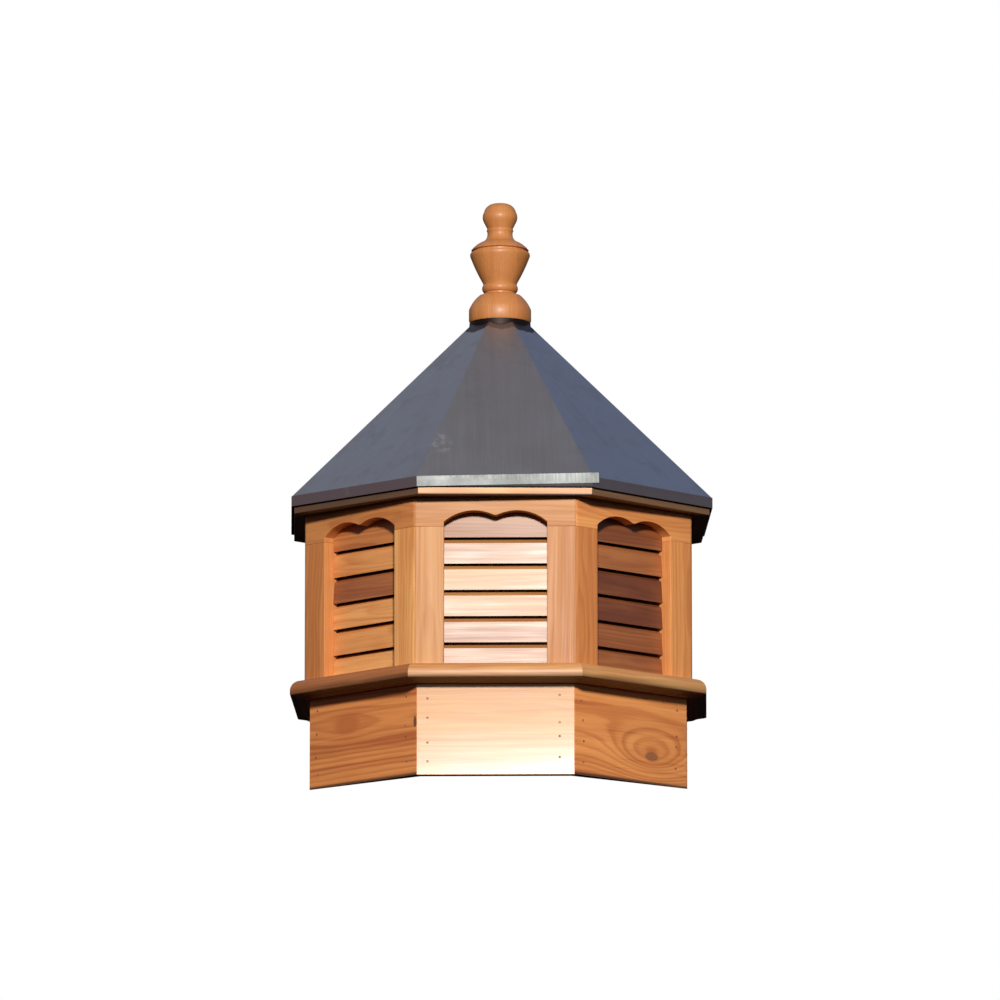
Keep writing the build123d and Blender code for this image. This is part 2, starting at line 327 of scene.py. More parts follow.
def lay_grain(piece, seed, upright=False, twist=0.0, tones=None, knots=None):
    """Gives each board a grain space of its own and its own tone.

    grain is (along the grain, across, depth) from the board's pith.
    tone is (dark to pale, heart, lightness); a heart below nothing is a worn, duller board.
    knot is (along, across, size) from the board's knot; a size below nothing keeps the swirl and leaves out
    the core.
    """
    mesh = piece.data
    rng = random.Random(seed)
    grain = mesh.attributes.new("grain", "FLOAT_VECTOR", "POINT")
    tone = mesh.attributes.new("tone", "FLOAT_VECTOR", "POINT")
    knot = mesh.attributes.new("knot", "FLOAT_VECTOR", "POINT")
    placed = []
    for board in boards(mesh):
        middle = sum((mesh.vertices[i].co for i in board), Vector()) / len(board)
        side = round((math.degrees(math.atan2(middle.y, middle.x) - twist) + 90) / 45) % 8
        placed.append((side, round(middle.z, 4), board, middle))
    for number, (side, height, board, middle) in enumerate(sorted(placed, key=lambda entry: entry[:2])):
        points = [mesh.vertices[i].co for i in board]
        outward = facing(middle, twist)
        across = Vector((-outward.y, outward.x, 0))
        face = max(p.dot(outward) for p in points)
        runs, rises = [p.dot(across) for p in points], [p.z for p in points]
        centre, level = (min(runs) + max(runs)) / 2, (min(rises) + max(rises)) / 2
        pith = Vector((rng.uniform(0, 60), rng.uniform(-0.05, 0.05), rng.uniform(0.035, 0.11)))
        shade = Vector((rng.uniform(-0.4, 0.8), rng.uniform(0, 0.3), rng.uniform(0.95, 1.2)))
        if tones:
            shade = Vector(tones[number % len(tones)])
        heart = (knots or {}).get(number, NO_KNOT)
        for i, p in zip(board, points):
            run, rise = p.dot(across), p.z
            place = Vector((rise, run - centre, 0)) if upright else Vector((run, rise - level, 0))
            place.z = face - p.dot(outward)
            grain.data[i].vector = place + pith
            tone.data[i].vector = shade
            knot.data[i].vector = (place.x - heart[0], place.y - heart[1], heart[2])


def own(piece, material, slot, *nodes):
    """Dresses a finished piece, lets it ride with the cupola and stand for its CAD nodes."""
    piece.data.materials.clear()
    piece.data.materials.append(material)
    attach(piece, "root")
    if nodes:
        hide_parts(*nodes)


# ---------------------------------------------------------------- materials
class Recipe:
    """A material's node tree, written one step at a time."""

    def __init__(self, name):
        self.material = bpy.data.materials.new(name)
        self.material.use_nodes = True
        self.tree = self.material.node_tree
        self.shader = self.tree.nodes["Principled BSDF"]

    def feed(self, socket, value):
        if isinstance(value, bpy.types.NodeSocket):
            self.tree.links.new(value, socket)
        elif value is not None:
            socket.default_value = value

    def node(self, kind, **settings):
        made = self.tree.nodes.new("ShaderNode" + kind)
        for key, value in settings.items():
            setattr(made, key, value)
        return made

    def attribute(self, name):
        return self.node("Attribute", attribute_name=name).outputs["Vector"]

    def place(self):
        return self.node("TexCoord").outputs["Object"]

    def math(self, operation, a, b=None, c=None, clamp=False):
        made = self.node("Math", operation=operation, use_clamp=clamp)
        for socket, value in zip(made.inputs, (a, b, c)):
            self.feed(socket, value)
        return made.outputs[0]

    def add(self, a, b, clamp=False):
        return self.math("ADD", a, b, clamp=clamp)

    def less(self, a, b):
        return self.math("SUBTRACT", a, b)

    def times(self, a, b, clamp=False):
        return self.math("MULTIPLY", a, b, clamp=clamp)

    def over(self, a, b):
        return self.math("DIVIDE", a, b)

    def distance(self, a, b):
        """How far (a, b) lies from nought."""
        return self.math("SQRT", self.add(self.math("POWER", a, 2.0), self.math("POWER", b, 2.0)))

    def split(self, vector):
        made = self.node("SeparateXYZ")
        self.feed(made.inputs[0], vector)
        return made.outputs

    def join(self, x, y, z):
        made = self.node("CombineXYZ")
        for socket, value in zip(made.inputs, (x, y, z)):
            self.feed(socket, value)
        return made.outputs[0]

    def away(self, centre, reach):
        """How far a place lies from a centre, where reach away along an axis is one."""
        made = self.node("VectorMath", operation="DISTANCE")
        self.feed(made.inputs[0], self.stretch(self.place(), tuple(1 / size for size in reach)))
        made.inputs[1].default_value = tuple(c / size for c, size in zip(centre, reach))
        return made.outputs["Value"]

    def stretch(self, vector, scale):
        made = self.node("VectorMath", operation="MULTIPLY")
        self.feed(made.inputs[0], vector)
        made.inputs[1].default_value = scale
        return made.outputs[0]

    def noise(self, vector, scale=1.0, detail=2.0, rough=0.5):
        made = self.node("TexNoise")
        self.feed(made.inputs["Vector"], vector)
        made.inputs["Scale"].default_value = scale
        made.inputs["Detail"].default_value = detail
        made.inputs["Roughness"].default_value = rough
        return made.outputs["Fac"]

    def between(self, value, low, high, to_low=0.0, to_high=1.0):
        made = self.node("MapRange", interpolation_type="SMOOTHSTEP")
        self.feed(made.inputs["Value"], value)
        self.feed(made.inputs["From Min"], low)
        self.feed(made.inputs["From Max"], high)
        self.feed(made.inputs["To Min"], to_low)
        self.feed(made.inputs["To Max"], to_high)
        return made.outputs[0]

    def mix(self, share, a, b, blend="MIX"):
        made = self.node("Mix", data_type="RGBA", blend_type=blend)
        self.feed(made.inputs["Factor"], share)
        for key, value in (("A", a), ("B", b)):
            socket = [s for s in made.inputs if s.name == key and s.type == "RGBA"][0]
            if not isinstance(value, bpy.types.NodeSocket):
                value = (*value, 1.0)
            self.feed(socket, value)
        return [s for s in made.outputs if s.type == "RGBA"][0]

    def bump(self, height, strength, depth, under=None):
        made = self.node("Bump")
        made.inputs["Strength"].default_value = strength
        made.inputs["Distance"].default_value = depth
        self.feed(made.inputs["Height"], height)
        self.feed(made.inputs["Normal"], under)
        self.feed(self.shader.inputs["Normal"], made.outputs[0])
        return made.outputs[0]

    def finish(self, colour, roughness, **fixed):
        self.feed(self.shader.inputs["Base Color"], colour)
        self.feed(self.shader.inputs["Roughness"], roughness)
        for key, value in fixed.items():
            self.shader.inputs[key].default_value = value
        return self.material


def cedar(name, settings, base_rough=0.42, coat=0.35, coat_rough=0.3, rings=1.0, spread=1.0, cup=0.0,
          darkening=None, marks=()):
    """Varnished cedar: growth rings round each board's pith, fibres, knots and a coat.

    cup makes the board's foot look bowed out, in its shading; darkening is (full below, none above, colour,
    share), a band darker towards the foot; marks are colour patches round a place, (centre, reach, colour,
    share).
    """
    r = Recipe(name)
    late_wood, heartwood = tuple(settings.late), tuple(settings.heart)
    grain = r.attribute("grain")
    across, depth = r.split(grain)[1:]
    paleness, heart, lightness = r.split(r.attribute("tone"))
    knot_along, knot_across, knot_size = r.split(r.attribute("knot"))

    # Unevenness, all of it drawn out along the grain.
    wander = r.noise(r.stretch(grain, (1.7, 9.0, 9.0)), detail=3.0)
    ripple = r.noise(r.stretch(grain, (9.0, 60.0, 60.0)), detail=2.0)
    fibre = r.noise(r.stretch(grain, (14.0, 900.0, 900.0)), detail=3.0, rough=0.6)
    streak = r.noise(r.stretch(grain, (3.2, 110.0, 110.0)), detail=3.0)
    cloud = r.noise(r.stretch(grain, (5.0, 16.0, 16.0)), detail=2.0)

    # Growth rings, which swell round a knot.
    burl = r.math("ABSOLUTE", knot_size)
    knot_off = r.over(r.distance(r.times(knot_along, 0.5), knot_across), burl)
    swell = r.times(r.math("EXPONENT", r.times(r.math("POWER", knot_off, 2.0), -0.16)),
                    r.add(r.times(burl, 1.35), r.times(knot_size, 1.05)))
    radius = r.add(r.distance(across, depth), r.times(wander, 0.030))
    radius = r.less(r.add(radius, r.times(ripple, 0.0016)), swell)
    uneven = r.noise(r.join(radius, 0.3, 0.7), 150.0 / spread)
    year = r.math("FRACT", r.add(r.over(radius, settings.ring * spread), r.times(uneven, 1.6)))
    late = r.times(r.between(year, 0.2, 0.8), r.between(year, 1.0, 0.82))
    band = r.noise(r.join(radius, 1.7, 3.1), 95.0 / spread, 2.0)

    # Colour: rings, then sapwood, heartwood and fibres.
    ringed = r.add(r.times(late, 0.36 * rings), r.between(band, 0.42, 0.68, 0.0, 0.42 * rings))
    ringed = r.add(ringed, r.between(streak, 0.45, 0.72, 0.0, 0.30 * rings), clamp=True)
    colour = r.mix(ringed, tuple(settings.early), late_wood)
    pale = r.times(r.math("MAXIMUM", paleness, 0.0), r.between(cloud, 0.2, 0.8, 0.45, 0.9), clamp=True)
    colour = r.mix(pale, colour, r.mix(ringed, tuple(settings.sap), tuple(settings.early)))
    dark = r.add(r.math("MAXIMUM", heart, 0.0), r.times(r.math("MINIMUM", paleness, 0.0), -0.30))
    dark = r.times(dark, r.between(cloud, 0.25, 0.75, 0.65, 1.1), clamp=True)
    colour = r.mix(dark, colour, r.mix(ringed, tuple(c * 1.25 for c in heartwood), heartwood))
    grey = r.times(r.between(fibre, 0.30, 0.72, 0.88, 1.08), lightness)
    colour = r.mix(1.0, colour, r.join(grey, grey, grey), "MULTIPLY")

    # Knots: a ringed core, and a red halo or flame round it.
    core = r.times(r.between(knot_off, 0.66, 0.32), r.math("GREATER_THAN", knot_size, 0.0))
    ringlet = r.math("FRACT", r.times(knot_off, 3.3))
    colour = r.mix(r.times(core, 0.85), colour, r.mix(ringlet, (0.11, 0.055, 0.030), (0.21, 0.105, 0.055)))
    flame = r.times(r.between(r.add(knot_off, r.times(wander, 1.6)), 2.3, 1.3),
                    r.math("LESS_THAN", knot_size, 0.0))
    halo = r.math("MAXIMUM", r.between(knot_off, 2.6, 0.8, 0.0, 0.30), r.times(flame, 0.8))
    red = r.mix(1.0, late_wood, r.join(lightness, lightness, lightness), "MULTIPLY")
    colour = r.mix(halo, colour, red)

    # Sheen, duller where the board is worn.
    patchy = r.add(r.times(streak, 0.5), r.times(cloud, 0.5))
    rough = r.add(r.between(fibre, 0.3, 0.7, base_rough - 0.03, base_rough + 0.04),
                  r.between(patchy, 0.35, 0.65, -0.06, 0.07))
    rough = r.less(rough, r.times(r.math("MINIMUM", heart, 0.0), 0.3))

    # A darker band towards the foot (painted shade on the ledge and the eave boards), colour marks, and the
    # look of a bowed foot.
    height = r.split(r.place())[2]
    if darkening:
        low, high, shade, share = darkening
        edge = r.less(height, r.times(r.less(streak, 0.5), high - low))
        colour = r.mix(r.between(edge, high, low, 0.0, share), colour, shade)
    for centre, reach, shade, share in marks:
        edge = r.add(r.away(centre, reach), r.less(cloud, 0.5))
        colour = r.mix(r.between(edge, 1.1, 0.7, 0.0, share), colour, shade)
    bowed = None
    if cup:
        low = r.math("MAXIMUM", r.less(1.0, r.over(height, SKIRT_TOP * 0.8)), 0.0)
        bowed = r.bump(r.times(r.math("POWER", low, 2.0), cup), 1.0, 1.0)
        r.feed(r.shader.inputs["Coat Normal"], bowed)
    r.bump(r.add(r.times(late, 0.5), r.times(fibre, 0.6)), 0.22, 0.0003, bowed)
    return r.finish(colour, rough, **{"Coat Weight": coat, "Coat Roughness": coat_rough})


def raw_timber(name, light, dark, spacing=0.006):
    """Unfinished wood inside the roof and the skirt."""
    r = Recipe(name)
    grain = r.attribute("grain")
    across, depth = r.split(grain)[1:]
    wander = r.noise(r.stretch(grain, (2.0, 8.0, 8.0)), detail=3.0)
    fibre = r.noise(r.stretch(grain, (20.0, 700.0, 700.0)), detail=3.0)
    darkening = r.noise(r.stretch(grain, (6.0, 10.0, 10.0)), detail=3.0)
    year = r.math("FRACT", r.over(r.add(r.distance(across, depth), r.times(wander, 0.06)), spacing))
    late = r.between(year, 0.4, 0.95)
    colour = r.mix(r.times(late, 0.6), light, dark)
    colour = r.mix(r.between(darkening, 0.5, 0.75, 0.0, 0.35), colour, tuple(c * 0.5 for c in dark))
    r.bump(r.add(late, fibre), 0.4, 0.0004)
    return r.finish(colour, r.between(fibre, 0.3, 0.7, 0.62, 0.8))


def sheet_metal(name, tint, rough=0.33, dirt=0.25, scrape_and_glint=None, collar_shade_radius=0.0):
    """Satin sheet with rolling lines, handling marks, dirt, and painted shade on the hem.

    The lighter patch (a real scrape on the roof sheet, a painted glint on the trim strips) is given as
    (centre, reach), and the collar's ring of painted shade by its radius.
    """
    r = Recipe(name)
    place = r.place()
    across, down, hem = r.split(r.attribute("slope"))
    mottle = r.noise(place, 9.0, 4.0, 0.6)
    cloud = r.noise(place, 2.6, 2.0)

    # Rolling lines and rain runs lie down the slope, and scratches slant across it.
    rolled = r.noise(r.join(r.times(across, 420.0), r.times(down, 5.0), 0.5), detail=2.0)
    run = r.noise(r.join(r.times(across, 60.0), r.times(down, 1.6), 4.5), detail=3.0)
    scratch = r.noise(r.join(r.add(r.times(across, 30.0), r.times(down, 24.0)),
                             r.less(r.times(down, 500.0), r.times(across, 620.0)), 0.0), detail=1.0)
    scratch = r.times(r.between(scratch, 0.74, 0.80), r.between(cloud, 0.5, 0.6))
    colour = r.mix(r.between(mottle, 0.35, 0.7, 0.0, 0.20), tint, tuple(c * 0.72 for c in tint))
    colour = r.mix(r.between(run, 0.5, 0.75, 0.0, 0.22), colour, tuple(c * 0.62 for c in tint))
    colour = r.mix(r.times(scratch, 0.5), colour, tuple(min(1.0, c * 1.6) for c in tint))

    # Dirt, painted shade on the hem below the fold, a lighter patch, and a dark ring of painted shade round
    # the collar.
    dirt_and_shade = r.times(r.between(r.noise(place, 22.0, 4.0, 0.65), 0.45, 0.8), dirt)
    dirt_and_shade = r.math("MAXIMUM", dirt_and_shade, r.between(hem, 0.1, 0.5, 0.0, 0.9))
    colour = r.mix(dirt_and_shade, colour, r.mix(hem, (0.10, 0.085, 0.07), (0.025, 0.021, 0.019)))
    # A lighter patch: a real scrape on the roof sheet, and on the trim strips a painted glint of a nail head.
    if scrape_and_glint:
        worn = r.times(r.between(r.away(*scrape_and_glint), 1.0, 0.3), r.between(r.noise(place, 90.0, 2.0), 0.45, 0.7))
        colour = r.mix(r.times(worn, 0.45), colour, tuple(min(1.0, c * 2.0) for c in tint))
    if collar_shade_radius:
        colour = r.mix(collar_shade(r, place, collar_shade_radius), colour, (0.022, 0.016, 0.015))

    roughness = r.add(r.between(mottle, 0.3, 0.7, rough - 0.03, rough + 0.05),
                      r.between(rolled, 0.3, 0.7, -0.02, 0.03))
    roughness = r.add(roughness, r.times(dirt_and_shade, 0.4))
    height = r.add(cloud, r.times(rolled, 0.012))
    r.bump(r.less(height, r.times(scratch, 0.02)), 0.2, 0.003)
    return r.finish(colour, roughness, Metallic=1.0)


def collar_shade(r, place, radius):
    """Where the dark ring of painted shade round the collar lies, wider and thicker on the diagonal sides."""
    x, y = r.split(place)[:2]
    turn = r.times(r.less(r.math("ARCTAN2", y, x), ROOF_TWIST), len(FACES) / 2)
    diagonal = r.between(r.math("COSINE", turn), 0.3, -0.3)
    reach = r.add(r.distance(x, y), r.times(r.less(r.noise(place, 70.0), 0.5), 0.012))
    edge = r.math("MULTIPLY_ADD", diagonal, 0.004, radius)
    thickness = r.math("MULTIPLY_ADD", diagonal, 0.45, 0.45)
    return r.times(r.between(r.less(reach, edge), 0.002, -0.002), thickness)


def nail_metal(name, tint):
    """Weathered nail heads with a little rust."""
    r = Recipe(name)
    rust = r.noise(r.place(), 900.0, 3.0)
    wide = r.noise(r.place(), 40.0, 1.0)
    colour = r.mix(r.between(rust, 0.4, 0.65), tint, (0.12, 0.045, 0.02))
    colour = r.mix(r.between(wide, 0.4, 0.7, 0.0, 0.5), colour, tuple(c * 1.5 for c in tint))
    r.bump(rust, 0.3, 0.0002)
    return r.finish(colour, r.between(rust, 0.3, 0.7, 0.4, 0.7), Metallic=0.25)


# ---------------------------------------------------------------- pieces
class CUPOLA_OT_skirt(bpy.types.Operator):
    """Finish the eight skirt boards and the cleats behind their corners"""

    bl_idname = "cupola.skirt"
    bl_label = "Skirt"

    def execute(self, context):
        cedar_look = context.scene.cupola_cedar
        glossy = cedar("cedar_skirt", cedar_look, base_rough=0.48, coat=1.0, coat_rough=0.24, rings=0.6,
                       cup=cedar_look.cup)
        # The side boards are darker towards the bottom, and dark at the chipped mitre.
        duller = cedar("cedar_skirt_side", cedar_look, base_rough=0.55, coat=0.1, rings=1.3, spread=2.4,
                       darkening=(0.002, 0.008, GRIME_AND_SHADE, 0.9), marks=[(*CHIPPED_MITRE, GRIME_AND_SHADE, 0.8)])
        knots = {"front_right": {0: (0.058, -0.036, 0.019)}, "front_left": {0: (-0.046, 0.030, -0.017)}}
        tones = {"front": (0.75, 0.0, 0.98), "front_right": (0.1, 0.0, 1.4), "front_left": (0.0, 0.1, 1.4)}
        for k, face in enumerate(FACES):
            node = f"skirt_board_{face}"
            piece = copy_node(f"cedar_{node}", node)
            ease_edges(piece, cedar_look.edge)
            lay_grain(piece, cedar_look.seed * 31 + k, knots=knots.get(face),
                      tones=[tones[face]] if face in tones else None)
            own(piece, duller if k else glossy, "cedar_skirt", node)
        block = raw_timber("sawn_softwood", *SOFTWOOD)
        cleats = copy_node("softwood_skirt_cleats", "skirt_cleats")
        ease_edges(cleats, cedar_look.edge)
        lay_grain(cleats, cedar_look.seed + 5, upright=True)
        own(cleats, block, "softwood_block", "skirt_cleats")
        return {"FINISHED"}


class CUPOLA_OT_body(bpy.types.Operator):
    """Finish the stiles, the scalloped headers and the sill rails"""

    bl_idname = "cupola.body"
    bl_label = "Frames"

    def execute(self, context):
        cedar_look = context.scene.cupola_cedar
        # The frames carry a browned patch on the left header, and a pale streak painted as the front-left
        # corner's highlight, partly pale wear.
        wood = cedar("cedar_frame", cedar_look, base_rough=0.54, coat=0.0, rings=0.8,
                     marks=[(*BROWNED_HEADER, tuple(cedar_look.late), 0.6),
                            (*CORNER_HIGHLIGHT_STREAK, tuple(cedar_look.sap), 0.8)])
        tones = {"front": (0.55, 0.0, 0.88), "front_right": (0.3, 0.0, 1.3), "front_left": (0.2, 0.08, 1.08)}
        for k, face in enumerate(FACES):
            node = f"header_{face}"
            piece = copy_node(f"cedar_{node}", node)
            ease_edges(piece, cedar_look.edge)
            lay_grain(piece, cedar_look.seed * 17 + k, tones=[tones[face]] if face in tones else None)
            own(piece, wood, "cedar_frame", node)
        stile_tones = {
            "stiles_left": ((0.5, 0.0, 0.88), (0.15, 0.05, 1.15), (0.1, 0.1, 1.1), (-0.2, 0.1, 1.2),
                            (0.2, 0.0, 1.1), (0.0, 0.1, 1.2), (0.3, 0.05, 1.1), (0.15, 0.1, 1.15)),
            "stiles_right": ((0.25, 0.0, 0.85), (0.35, 0.0, 1.3), (0.0, 0.1, 1.1), (0.3, 0.0, 1.1),
                             (-0.1, 0.1, 1.2), (0.1, 0.0, 1.1), (0.25, 0.1, 1.15), (0.75, 0.0, 1.2)),
        }
        for k, node in enumerate(("stiles_left", "stiles_right", "sill_rails_square", "sill_rails_diagonal")):
            piece = copy_node(f"cedar_{node}", node)
            ease_edges(piece, cedar_look.edge)
            lay_grain(piece, cedar_look.seed * 23 + k, upright=node.startswith("stiles"),
                      tones=stile_tones.get(node))
            own(piece, wood, "cedar_frame", node)
        return {"FINISHED"}


class CUPOLA_OT_louvres(bpy.types.Operator):
    """Finish the louvres of every side"""

    bl_idname = "cupola.louvres"
    bl_label = "Louvres"

    def execute(self, context):
        cedar_look = context.scene.cupola_cedar
        wood = cedar("cedar_louvre", cedar_look, base_rough=0.43, coat=0.27, coat_rough=0.33)
        # From the lowest slat up.
        tones = {
            "front": ((0.4, -0.12, 0.6), (0.5, 0.1, 0.64), (0.8, 0.0, 0.70),
                      (0.9, 0.0, 0.70), (0.5, 0.1, 0.6), (0.3, -0.6, 0.55)),
            "front_left": ((0.6, 0.0, 1.2), (0.4, 0.0, 1.2), (0.5, 0.0, 1.25),
                           (-0.4, 0.6, 1.0), (0.4, 0.0, 1.2), (0.0, 0.2, 1.1)),
            "front_right": ((-0.2, 0.6, 0.8), (-0.2, 0.5, 0.85), (-0.3, 0.75, 0.7),
                            (-0.5, 0.9, 0.65), (0.0, 0.5, 0.9), (-0.2, 0.6, 0.75)),
        }
        for k, face in enumerate(FACES):
            node = f"louvres_{face}"
            piece = copy_node(f"cedar_{node}", node)
            ease_edges(piece, cedar_look.edge * 0.7)
            lay_grain(piece, cedar_look.seed * 41 + k, tones=tones.get(face))
            own(piece, wood, "cedar_louvre", node)
        return {"FINISHED"}


def round_nose(piece, width):
    """Rounds the lower arris of the ledge's nose."""
    def reach(vert):
        return vert.co.dot(facing(vert.co))

    front = max(reach(v) for v in piece.data.vertices)
    foot = min(v.co.z for v in piece.data.vertices if reach(v) > front - HAIR)
    edit(piece, everything=False)
    shape = bmesh.from_edit_mesh(piece.data)
    for edge in shape.edges:
        edge.select_set(all(reach(v) > front - HAIR and v.co.z < foot + HAIR for v in edge.verts))
    bmesh.update_edit_mesh(piece.data)
    bpy.ops.mesh.bevel(offset=width, segments=4)
    bpy.ops.object.mode_set(mode="OBJECT")


class CUPOLA_OT_ledge(bpy.types.Operator):
    """Finish the ledge moulding round the foot of the louvres"""

    bl_idname = "cupola.ledge"
    bl_label = "Ledge moulding"

    def execute(self, context):
        cedar_look = context.scene.cupola_cedar
        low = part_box("ledge_mouldings_square")[0].z
        # The lower part of the nose is darkened: painted shade, where it faces down.
        wood = cedar("cedar_ledge", cedar_look, base_rough=0.56, coat=0.12, rings=0.8,
                     darkening=(low + 0.006, low + 0.020, GRIME_AND_SHADE, 0.7))
        tones = ((0.9, 0.0, 0.84), (0.2, 0.1, 0.85), (0.1, 0.2, 0.85), (-0.1, 0.25, 0.75))
        for k, node in enumerate(("ledge_mouldings_square", "ledge_mouldings_diagonal")):
            piece = copy_node(f"cedar_{node}", node)
            round_nose(piece, cedar_look.nose)
            ease_edges(piece, cedar_look.edge * 0.6)
            lay_grain(piece, cedar_look.seed * 13 + k, tones=tones)
            own(piece, wood, "cedar_ledge", node)
        return {"FINISHED"}


class CUPOLA_OT_eave(bpy.types.Operator):
    """Finish the eave boards and the roof deck"""

    bl_idname = "cupola.eave"
    bl_label = "Eave and deck"

    def execute(self, context):
        cedar_look = context.scene.cupola_cedar
        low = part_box("eave_boards_square")[0].z
        woods = {
            # A dark line along the foot of the square eave boards: painted shade.
            "square": cedar("cedar_eave", cedar_look, base_rough=0.5, coat=0.1,
                            darkening=(low + 0.001, low + 0.004, GRIME_AND_SHADE, 0.9)),
            # The diagonal eave boards are darkened over their height: painted shade, partly weathering.
            "diagonal": cedar("cedar_eave_weathered_and_shaded", cedar_look, base_rough=0.6, coat=0.0,
                              darkening=(low + 0.03, low + 0.034, WEATHER_AND_SHADE, 0.8)),
        }
        sheet = raw_timber("deck_plywood", *PLYWOOD, spacing=0.02)
        for k, (side, wood) in enumerate(woods.items()):
            piece = copy_node(f"cedar_eave_boards_{side}", f"eave_boards_{side}")
            ease_edges(piece, cedar_look.edge)
            lay_grain(piece, cedar_look.seed * 19 + k, twist=ROOF_TWIST,
                      tones=((0.9, 0.0, 1.0), (0.0, 0.3, 0.7)))
            own(piece, wood, "cedar_eave", f"eave_boards_{side}")
            deck = copy_node(f"plywood_roof_deck_{side}", f"roof_deck_{side}")
            ease_edges(deck, cedar_look.edge * 0.5)
            lay_grain(deck, cedar_look.seed * 29 + k, twist=ROOF_TWIST)
            own(deck, sheet, "deck_plywood", f"roof_deck_{side}")
        hub = copy_node("softwood_roof_hub", "roof_hub")
        ease_edges(hub, cedar_look.edge)
        lay_grain(hub, cedar_look.seed + 3, upright=True)
        own(hub, raw_timber("hub_softwood", *SOFTWOOD), "softwood_block", "roof_hub")
        return {"FINISHED"}


# Length down the roof's slope for each metre out from the axis, roughly.
SLOPE_STRETCH = 1.4
# An edge that rises more than this is a hip.
HIP_RISE = 0.2
COLLAR_EDGE = 0.0004


def lay_slope(piece, hem=True):
    """Gives the roof's metal (across the side, down the slope, whether it is hem that takes painted shade) to
    follow.
    """
    mesh = piece.data
    slope = mesh.attributes.new("slope", "FLOAT_VECTOR", "POINT")
    for i, vert in enumerate(mesh.vertices):
        outward = facing(vert.co, ROOF_TWIST)
        across = Vector((-outward.y, outward.x, 0))
        shaded_hem = hem and vert.co.z < HEM_TOP
        slope.data[i].vector = (vert.co.dot(across), vert.co.dot(outward) * SLOPE_STRETCH, shaded_hem)


class CUPOLA_OT_roof(bpy.types.Operator):
    """Fold the roof sheet softly at its hips and eave, and finish the collar"""

    bl_idname = "cupola.roof"
    bl_label = "Roof sheet and collar"

    def execute(self, context):
        metal = context.scene.cupola_metal
        sheet = copy_node("metal_roof_sheet", "roof_sheet")
        edit(sheet, everything=False)
        shape = bmesh.from_edit_mesh(sheet.data)
        for edge in shape.edges:
            ends = [v.co for v in edge.verts]
            near, far = sorted(math.hypot(end.x, end.y) * math.cos(HALF) for end in ends)
            on_hip = abs(ends[0].z - ends[1].z) > HIP_RISE
            at_eave = far - near < 1e-5
            edge.select_set(far > DRIP_FACE - HAIR and (on_hip or at_eave))
        bmesh.update_edit_mesh(sheet.data)
        bpy.ops.mesh.bevel(offset=metal.fold, segments=3, clamp_overlap=False)
        bpy.ops.object.mode_set(mode="OBJECT")
        close_slivers(sheet)
        bpy.ops.object.shade_smooth_by_angle(angle=math.radians(28))
        lay_slope(sheet)
        # The sheet takes painted shade on its hem and round the collar.
        own(sheet, sheet_metal("roof_metal", tuple(metal.sheet), scrape_and_glint=SCRAPED_ROOF, collar_shade_radius=COLLAR_SHADE_RADIUS),
            "roof_metal", "roof_sheet")

        # The front strip is separate, askew and dull; the seven others run round the roof as one.
        front = copy_node("metal_drip_strip_front", "drip_strip_front")
        ease_edges(front, metal.edge)
        lay_slope(front, hem=False)
        own(front, sheet_metal("drip_strip_front", tuple(metal.worn), rough=0.5, dirt=0.15),
            "roof_metal", "drip_strip_front")
        strips = copy_node("metal_drip_strips", "drip_strips")
        bpy.ops.object.shade_smooth_by_angle(angle=math.radians(30))
        lay_slope(strips, hem=False)
        # The strips carry a painted glint of a nail head on the left side.
        own(strips, sheet_metal("drip_strips", tuple(metal.trim), rough=0.35, dirt=0.15, scrape_and_glint=TRIM_GLINT),
            "roof_metal", "drip_strips")

        collar = copy_node("metal_roof_collar", "roof_collar")
        ease_edges(collar, COLLAR_EDGE)
        lay_slope(collar)
        # The collar's near-black colour is painted shade under the finial's base.
        own(collar, sheet_metal("collar_metal", tuple(metal.collar), rough=0.5, dirt=0.2),
            "collar_metal", "roof_collar")
        return {"FINISHED"}


class CUPOLA_OT_finial(bpy.types.Operator):
    """Finish the turned finial"""

    bl_idname = "cupola.finial"
    bl_label = "Finial"

    def execute(self, context):
        cedar_look = context.scene.cupola_cedar
        piece = copy_node("cedar_finial", "finial")
        bpy.ops.object.shade_smooth_by_angle(angle=math.radians(32))
        lay_grain(piece, cedar_look.seed * 3, upright=True, tones=((0.1, 0.0, 0.92),))
        own(piece, cedar("cedar_turned", cedar_look, base_rough=0.5, coat=0.15, rings=0.5),
            "cedar_turned", "finial")
        return {"FINISHED"}


def repeat(master, name, places):
    """Copies of a master piece, each with its own mesh, joined into one piece."""
    copies = []
    for place in places:
        pick(master)
        bpy.ops.object.duplicate(linked=False)
        copy = bpy.context.object
        copy.data.transform(place)
        copies.append(copy)
    bpy.data.objects.remove(master)
    pick(*copies)
    bpy.ops.object.join()
    piece = bpy.context.object
    piece.name = name
    return piece


